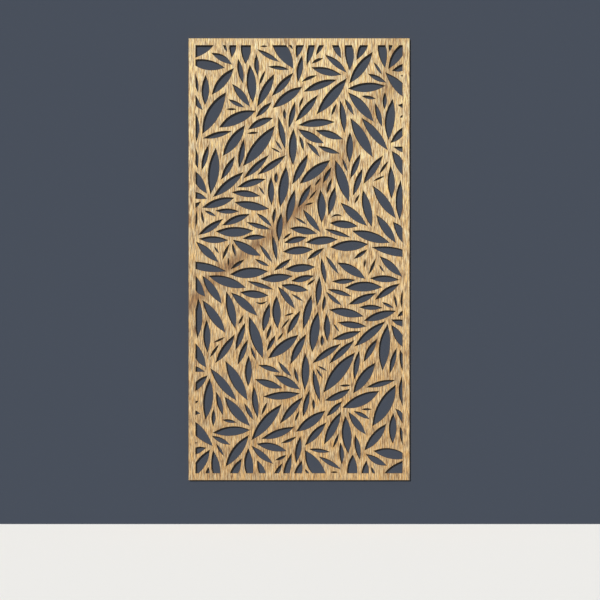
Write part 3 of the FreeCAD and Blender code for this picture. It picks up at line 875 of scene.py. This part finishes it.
def make_felt():
    """Brown felt: matted fibres in two sizes, with a soft sheen."""
    looks = {"Roughness": 0.95, "Sheen_Weight": 0.35, "Sheen_Roughness": 0.5}
    material, tree, shader = new_material("pressed_felt", **looks)
    place = place_on_piece(tree)
    fibres = cloud(tree, place, **FELT_FIBRE_NOISE)
    clumps = cloud(tree, place, **FELT_CLUMP_NOISE)
    tone = spread(tree, mix_values(tree, FELT_CLUMP_SHARE, fibres, clumps), FELT_TONE_LOW, FELT_TONE_HIGH)
    feed(tree, shader.inputs["Base Color"], blend_colours(tree, tone, FELT_DEEP, FELT_PALE))
    bump(tree, shader, fibres, FELT_RELIEF, FELT_RELIEF_STRENGTH)
    return material


def model_pad(name, node, material):
    """A domed felt disc with a rounded rim, which stands for the plain disc."""
    low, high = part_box(node)
    centre = (low + high) / 2
    fall = sum(rise for inset, rise in DOME_STEPS)
    start_from(
        bpy.ops.mesh.primitive_cylinder_add,
        vertices=PAD_SIDES,
        radius=(high.x - low.x) / 2,
        depth=high.y - low.y - fall,
        location=(centre.x, centre.y - fall / 2, centre.z),
        rotation=FACING_BACK,
    )
    outer = high.y - fall
    choose("EDGE", lambda middle, edge: all(abs(corner.co.y - outer) < NEAR for corner in edge.verts))
    bpy.ops.mesh.bevel(offset=RIM_ROUND, segments=RIM_STEPS)
    for inset, rise in DOME_STEPS:
        choose("FACE", lambda middle, face: face.normal.y > FACES_THE_WALL and len(face.verts) == PAD_SIDES)
        bpy.ops.mesh.inset(thickness=inset, depth=0)
        bpy.ops.transform.translate(value=(0, rise, 0))
    bpy.ops.mesh.poke()
    pad = settle(name, material, PAD_SOFT_BELOW)
    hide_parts(node)
    return pad


felt = make_felt()
for pad_node in PADS:
    model_pad(pad_node.replace("bumper", "felt_pad"), pad_node, felt)
print(len(PADS), "felt pads")

# %% [markdown]
# The studio is a pale floor and a plain wall of a dull blue grey. Through fretwork the wall is half of what
# one sees, and behind a pale one the narrow cuts, which are half in shade, would be as bright as the wood and
# vanish. The wall stands right behind the pads, where the panel hangs, so it catches the thin shadow at each
# cut. It has only one side: from behind, and for light that goes past it, it isn't there, which leaves the
# panel's back open to view and to the light.

# %% Wall and floor
WALL_GAP = 0.6 * MM
FLOOR_DROP = 120 * MM
STAGE_SIZE = 14.0
WALL_COLOUR = paint(72, 79, 91)
FLOOR_COLOUR = paint(238, 237, 234)


def make_one_sided(name, colour, in_mirrors):
    """A matt surface that the eye sees, and only from its front. Mirrors may see it too."""
    looks = {"Base_Color": colour, "Roughness": 0.9, "Specular_IOR_Level": 0.1}
    material, tree, shader = new_material(name, **looks)
    path = add(tree, "ShaderNodeLightPath").outputs
    behind = add(tree, "ShaderNodeNewGeometry").outputs["Backfacing"]
    mirrored = work_out(tree, "MULTIPLY", path["Is Glossy Ray"], in_mirrors)
    seen = work_out(tree, "MAXIMUM", path["Is Camera Ray"], mirrored)
    share = work_out(tree, "MULTIPLY", seen, work_out(tree, "SUBTRACT", 1.0, behind))
    open_air = add(tree, "ShaderNodeBsdfTransparent")
    mix = add(tree, "ShaderNodeMixShader")
    feed(tree, mix.inputs[0], share)
    feed(tree, mix.inputs[1], open_air.outputs[0])
    feed(tree, mix.inputs[2], shader.outputs[0])
    feed(tree, tree.nodes["Material Output"].inputs["Surface"], mix.outputs[0])
    return material


def make_stage(name, location, rotation, material):
    """A large flat surface for the studio."""
    bpy.ops.object.select_all(action="DESELECT")
    bpy.ops.mesh.primitive_plane_add(size=STAGE_SIZE, location=location, rotation=rotation)
    surface = bpy.context.object
    surface.name = name
    surface.data.materials.append(material)
    return surface


floor_level = BOARD_LOW.z - FLOOR_DROP
wall_place = (0, solid_high.y + WALL_GAP, floor_level + STAGE_SIZE / 2)
make_stage("studio_wall", wall_place, (math.pi / 2, 0, 0), make_one_sided("wall_paint", WALL_COLOUR, 0))
make_stage("studio_floor", (0, 0, floor_level), (0, 0, 0), make_one_sided("floor_paint", FLOOR_COLOUR, 1))
print("floor at", round(floor_level, 3))

# %% [markdown]
# The light is plain: a soft sun from the upper left, and a white sky that gives a quarter of the light and
# fills every shadow. How far the sun stands off the line of sight sets how wide the shadow beside each cut
# is. In the photograph it is only a thin line, so the angle is small. Two fill lamps, which cast no shadow
# and no glint, do the rest: one from straight above brightens the floor, and one from behind the wall keeps
# the panel's back and its far side readable in the other views.

# %% Light
SKY_STRENGTH = 0.25
SKY_SEEN = 0.93
SUN_STRENGTH = 2.4
SUN_SIDE = math.radians(-14)
SUN_RISE = math.radians(14)
SUN_SPREAD = math.radians(4)
TOP_STRENGTH = 0.7
TOP_WAY = (0, 0, -1.0)
BACK_STRENGTH = 2.2
BACK_WAY = (-0.5, -1.0, -0.6)
WHITE = (1, 1, 1, 1)


def make_sky():
    """A white sky, brighter to the eye than it shines."""
    world = bpy.data.worlds.new("studio_sky")
    bpy.context.scene.world = world
    world.use_nodes = True
    tree = world.node_tree
    path = add(tree, "ShaderNodeLightPath").outputs
    seen = work_out(tree, "MAXIMUM", path["Is Camera Ray"], path["Is Glossy Ray"])
    seen = work_out(tree, "MAXIMUM", seen, path["Is Transmission Ray"])
    sky = tree.nodes["Background"]
    feed(tree, sky.inputs["Strength"], spread(tree, seen, 0.0, 1.0, SKY_STRENGTH, SKY_SEEN))
    sky.inputs["Color"].default_value = WHITE


def add_sun(name, towards, strength, fill=False):
    """A far lamp that shines along a direction. As a fill, it casts no shadow and puts no glint on metal."""
    data = bpy.data.lights.new(name, "SUN")
    data.energy = strength
    data.angle = SUN_SPREAD
    data.use_shadow = not fill
    lamp = bpy.data.objects.new(name, data)
    bpy.context.scene.collection.objects.link(lamp)
    lamp.visible_glossy = not fill
    lamp.rotation_mode = "QUATERNION"
    lamp.rotation_quaternion = Vector(towards).to_track_quat("-Z", "Y")
    return lamp


make_sky()
sun_way = (-math.tan(SUN_SIDE), 1.0, -math.tan(SUN_RISE))
add_sun("sun_upper_left", sun_way, SUN_STRENGTH)
add_sun("top_fill", TOP_WAY, TOP_STRENGTH, fill=True)
add_sun("back_fill", BACK_WAY, BACK_STRENGTH, fill=True)
print("sun shines along", [round(part, 2) for part in sun_way])

# %% [markdown]
# The photograph looks straight at the panel from far away, a little below its centre. In it the shadow line
# in the cuts is as wide at the foot as at the top, which a near camera would not show: looking down into the
# lower cuts, it would see past the shadow. So the camera stands twelve metres off, with a long lens that
# makes the picture as wide as the photograph's at the panel's face.

# %% Camera
CAMERA_DISTANCE = 12.0
PICTURE_WIDTH = 1.629
SENSOR = 36.0
AIM_X = 0.0026
AIM_BELOW_CENTRE = 0.1107


def make_camera():
    """A camera that faces the board squarely."""
    data = bpy.data.cameras.new("camera")
    data.sensor_width = SENSOR
    data.lens = SENSOR * CAMERA_DISTANCE / PICTURE_WIDTH
    camera = bpy.data.objects.new("camera", data)
    bpy.context.scene.collection.objects.link(camera)
    camera.location = (AIM_X, BOARD_LOW.y - CAMERA_DISTANCE, MIDDLE.z - AIM_BELOW_CENTRE)
    camera.rotation_euler = (math.pi / 2, 0, 0)
    bpy.context.scene.camera = camera
    bpy.context.scene.view_settings.view_transform = "Standard"
    return camera


print("lens", round(make_camera().data.lens, 1), "mm")
